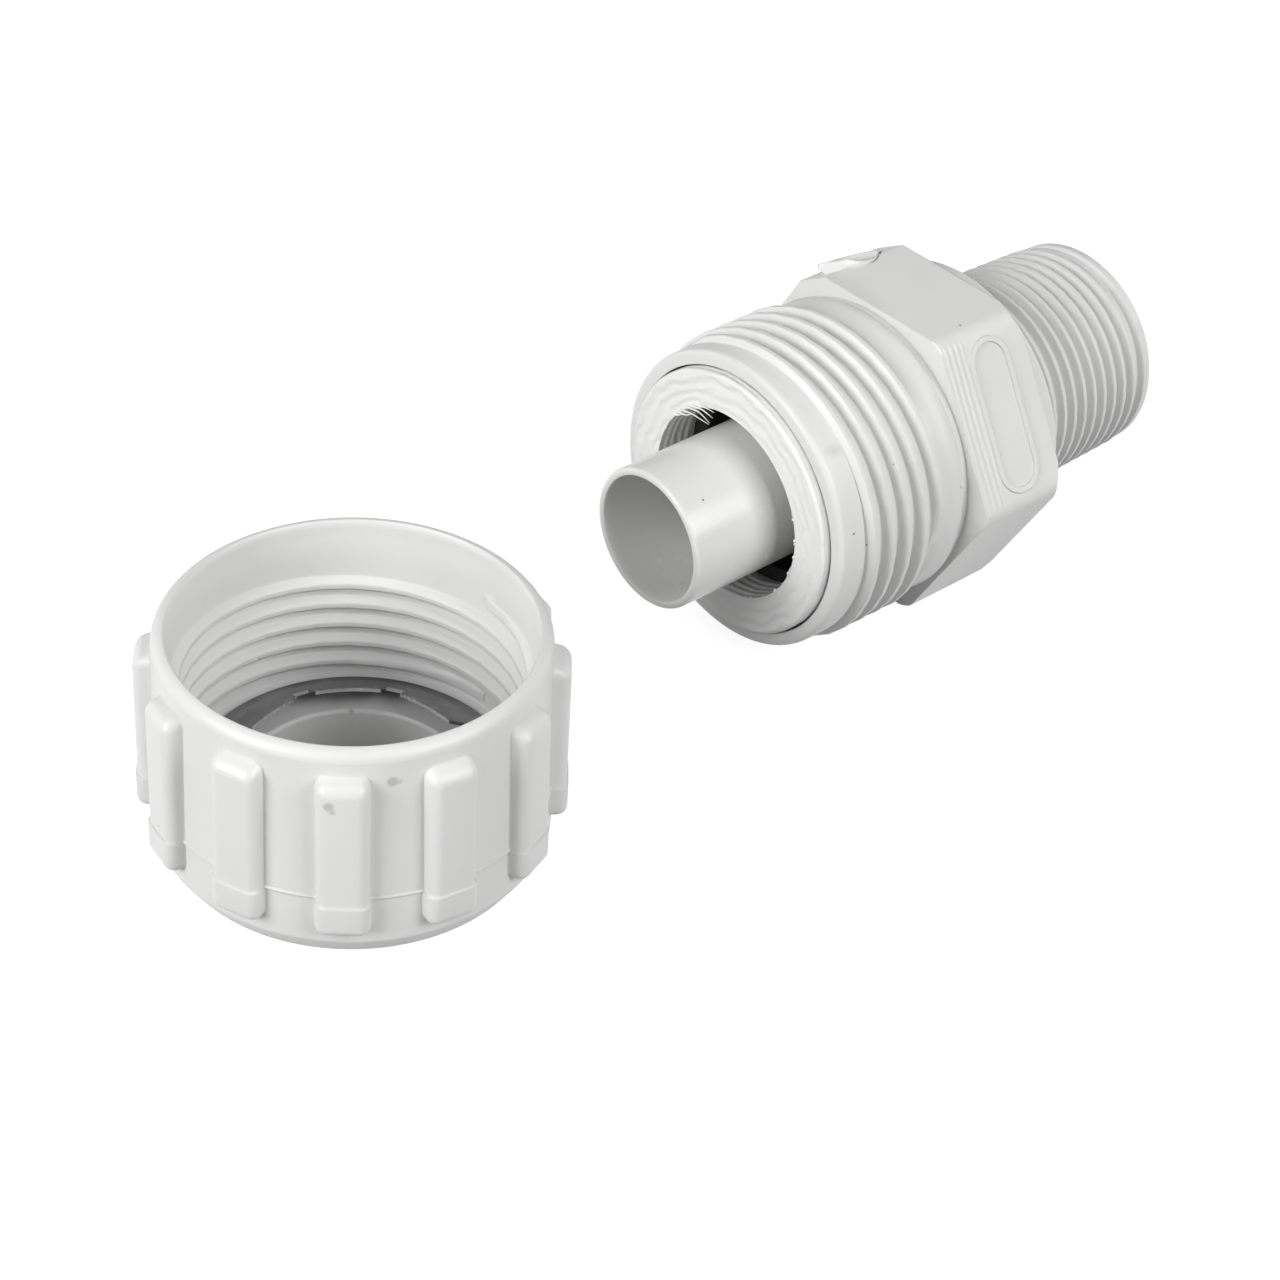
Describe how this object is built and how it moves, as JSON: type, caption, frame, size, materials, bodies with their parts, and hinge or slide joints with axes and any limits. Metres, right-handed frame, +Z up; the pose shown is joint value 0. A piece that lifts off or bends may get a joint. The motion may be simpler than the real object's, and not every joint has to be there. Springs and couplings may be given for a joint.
{
  "type": "pipe compression adapter with loose nut",
  "caption": "Plastic compression pipe adapter with a hexagon, a coarse front thread and a male taper thread; its ribbed nut stands unscrewed in front of the insert tube.",
  "frame": {"origin": "middle of the lower flat of the hexagon, 0.45 mm above the floor", "axes": "+X along the adapter from the insert tube to the male taper thread, +Z up; the nut stands towards -X"},
  "size_m": [0.137, 0.0462, 0.0386],
  "materials": {
    "body_plastic": "satin moulded",
    "tube_plastic": "soft gloss",
    "ring_plastic": "matte turned",
    "seal_rubber": "matte",
    "nut_plastic": "satin moulded",
    "grip_steel": "brushed spring sheet"
  },
  "bodies": {
    "root": {"adapter_body": "body_plastic", "insert_tube": "tube_plastic", "pusher_ring": "ring_plastic", "seal_ring": "seal_rubber", "coupling_nut": "nut_plastic", "grip_ring": "grip_steel"}
  },
  "joints": []
}
